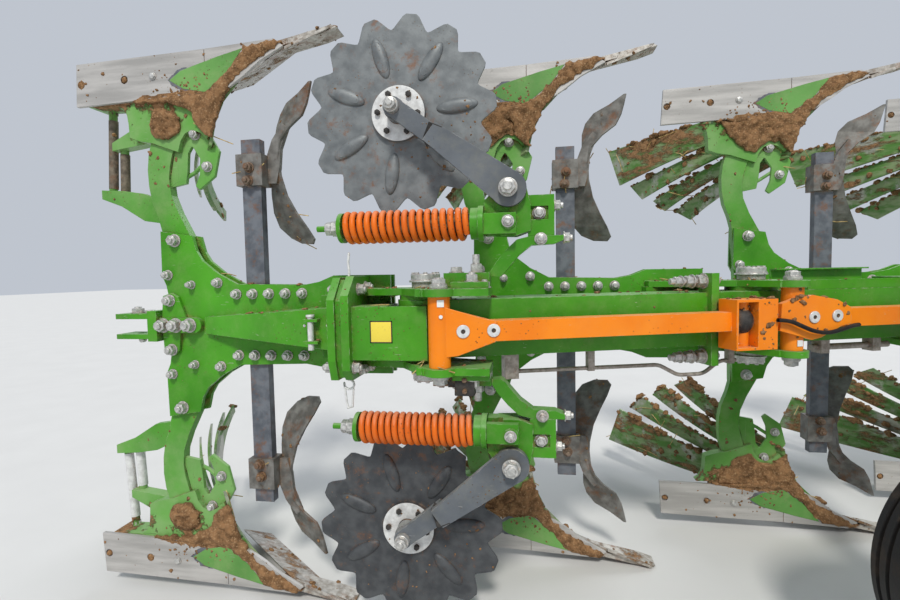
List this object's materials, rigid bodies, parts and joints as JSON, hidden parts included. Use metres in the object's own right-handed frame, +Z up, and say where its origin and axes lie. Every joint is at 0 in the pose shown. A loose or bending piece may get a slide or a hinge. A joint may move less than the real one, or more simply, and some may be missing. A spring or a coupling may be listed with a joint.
{
  "type": "mounted reversible mouldboard plough",
  "caption": "Mounted reversible plough with paired mouldboard bodies on an angled beam, adjustable furrow width, sprung disc coulters, depth wheel and turnover headstock.",
  "frame": {"origin": "bottom centre of the whole machine's box, on the ground it parks on", "axes": "+X the direction of travel, +Y to the machine's left, +Z up"},
  "size_m": [5.2498, 1.99, 1.818],
  "materials": {
    "board_steel": "painted, soil-worn",
    "chrome_rod": "hard chrome",
    "dark_steel": "dark grey, satin",
    "green_paint": "gloss enamel",
    "land_steel": "worn bright by soil",
    "orange_paint": "gloss enamel",
    "shank_steel": "dark grey, scratched",
    "share_steel": "soil-worn forged steel",
    "tyre_rubber": "moulded rubber",
    "zinc": "zinc plated"
  },
  "bodies": {
    "headstock": {"headstock_frame": "green_paint", "lower_link_axle": "zinc", "stand_sleeve": "green_paint", "turnover_cylinder_pin": "zinc"},
    "parking_stand": {"parking_stand": "zinc"},
    "turnover_cylinder": {"turnover_cylinder_barrel": "dark_steel", "turnover_cylinder_rod": "chrome_rod"},
    "console": {"turnover_shaft": "zinc", "turnover_console": "green_paint", "frame_pivot_pin": "zinc"},
    "beam": {"beam": "green_paint", "furrow_pivot_pins": "zinc", "hose_tray": "green_paint", "hydraulic_pipe": "zinc", "wheel_bracket": "green_paint"},
    "depth_wheel_arm": {"wheel_arm": "green_paint"},
    "depth_wheel": {"wheel_rim": "green_paint", "wheel_tyre": "tyre_rubber"},
    "disc_upper": {"disc_upper": "dark_steel"},
    "disc_lower": {"disc_lower": "dark_steel"},
    "control_rod": {"control_rod": "orange_paint", "control_rod_pins": "zinc"},
    "furrow_1": {"carrier_1": "green_paint", "legs_1": "green_paint", "mouldboards_1": "board_steel", "shares_1": "share_steel", "landsides_1": "land_steel", "skimmer_shank_1": "shank_steel", "skimmers_1": "share_steel", "rear_hitch": "green_paint", "coulter_arms": "dark_steel", "coulter_knuckles": "green_paint", "coulter_posts": "green_paint", "coulter_spring_rods": "green_paint", "coulter_springs": "orange_paint"},
    "furrow_2": {"carrier_2": "green_paint", "legs_2": "green_paint", "mouldboards_2": "board_steel", "shares_2": "share_steel", "landsides_2": "land_steel", "skimmer_shank_2": "shank_steel", "skimmers_2": "share_steel"},
    "furrow_3": {"carrier_3": "green_paint", "legs_3": "green_paint", "mouldboards_3": "board_steel", "shares_3": "share_steel", "landsides_3": "land_steel", "skimmer_shank_3": "shank_steel", "skimmers_3": "share_steel"},
    "furrow_4": {"carrier_4": "green_paint", "legs_4": "green_paint", "mouldboards_4": "board_steel", "shares_4": "share_steel", "landsides_4": "land_steel", "skimmer_shank_4": "shank_steel", "skimmers_4": "share_steel"}
  },
  "joints": [
    {"name": "turnover", "type": "hinge", "parent": "headstock", "child": "console", "pos_m": [2.07492, 0.07017, 0.909], "axis": [-1, 0, 0], "range_deg": [0, 180]},
    {"name": "turnover_cylinder_swing", "type": "hinge", "parent": "headstock", "child": "turnover_cylinder", "pos_m": [2.35492, 0.07017, 1.309], "axis": [-1, 0, 0], "range_deg": [0, 41.11]},
    {"name": "parking_stand_slide", "type": "slide", "parent": "headstock", "child": "parking_stand", "axis": [0, 0, 1], "range_m": [0, 0.35]},
    {"name": "width_adjust", "type": "hinge", "parent": "console", "child": "beam", "pos_m": [1.20492, 0.14417, 0.909], "axis": [0, 0, 1], "range_deg": [0, 13.27]},
    {"name": "control_rod_pivot", "type": "hinge", "parent": "furrow_1", "child": "control_rod", "pos_m": [-1.28398, -0.827, 0.909], "axis": [0, 0, 1], "range_deg": [0, 13.27]},
    {"name": "depth_wheel_swing", "type": "hinge", "parent": "beam", "child": "depth_wheel_arm", "pos_m": [0.24002, -0.7, 0.909], "axis": [0, 1, 0], "range_deg": [0, 153.59]},
    {"name": "depth_wheel_spin", "type": "hinge", "parent": "depth_wheel_arm", "child": "depth_wheel", "pos_m": [0.11002, -0.88, 0.355], "axis": [0, 1, 0], "continuous": true},
    {"name": "disc_upper_spin", "type": "hinge", "parent": "furrow_1", "child": "disc_upper", "pos_m": [-1.42098, -0.659, 1.527], "axis": [0, 1, 0], "continuous": true},
    {"name": "disc_lower_spin", "type": "hinge", "parent": "furrow_1", "child": "disc_lower", "pos_m": [-1.42098, -0.659, 0.291], "axis": [0, 1, 0], "continuous": true},
    {"name": "furrow_1_pivot", "type": "hinge", "parent": "beam", "child": "furrow_1", "pos_m": [-1.34498, -0.7, 0.909], "axis": [0, 0, 1], "range_deg": [-13.27, 0]},
    {"name": "furrow_2_pivot", "type": "hinge", "parent": "beam", "child": "furrow_2", "pos_m": [-0.34819, -0.37, 0.909], "axis": [0, 0, 1], "range_deg": [-13.27, 0]},
    {"name": "furrow_3_pivot", "type": "hinge", "parent": "beam", "child": "furrow_3", "pos_m": [0.64861, -0.04, 0.909], "axis": [0, 0, 1], "range_deg": [-13.27, 0]},
    {"name": "furrow_4_pivot", "type": "hinge", "parent": "beam", "child": "furrow_4", "pos_m": [1.6454, 0.29, 0.909], "axis": [0, 0, 1], "range_deg": [-13.27, 0]}
  ],
  "couplings": [
    {"joint": "turnover_cylinder_swing", "follows": "turnover", "ratio": 0.2284},
    {"joint": "control_rod_pivot", "follows": "width_adjust", "ratio": 1},
    {"joint": "furrow_1_pivot", "follows": "width_adjust", "ratio": -1},
    {"joint": "furrow_2_pivot", "follows": "width_adjust", "ratio": -1},
    {"joint": "furrow_3_pivot", "follows": "width_adjust", "ratio": -1},
    {"joint": "furrow_4_pivot", "follows": "width_adjust", "ratio": -1}
  ]
}
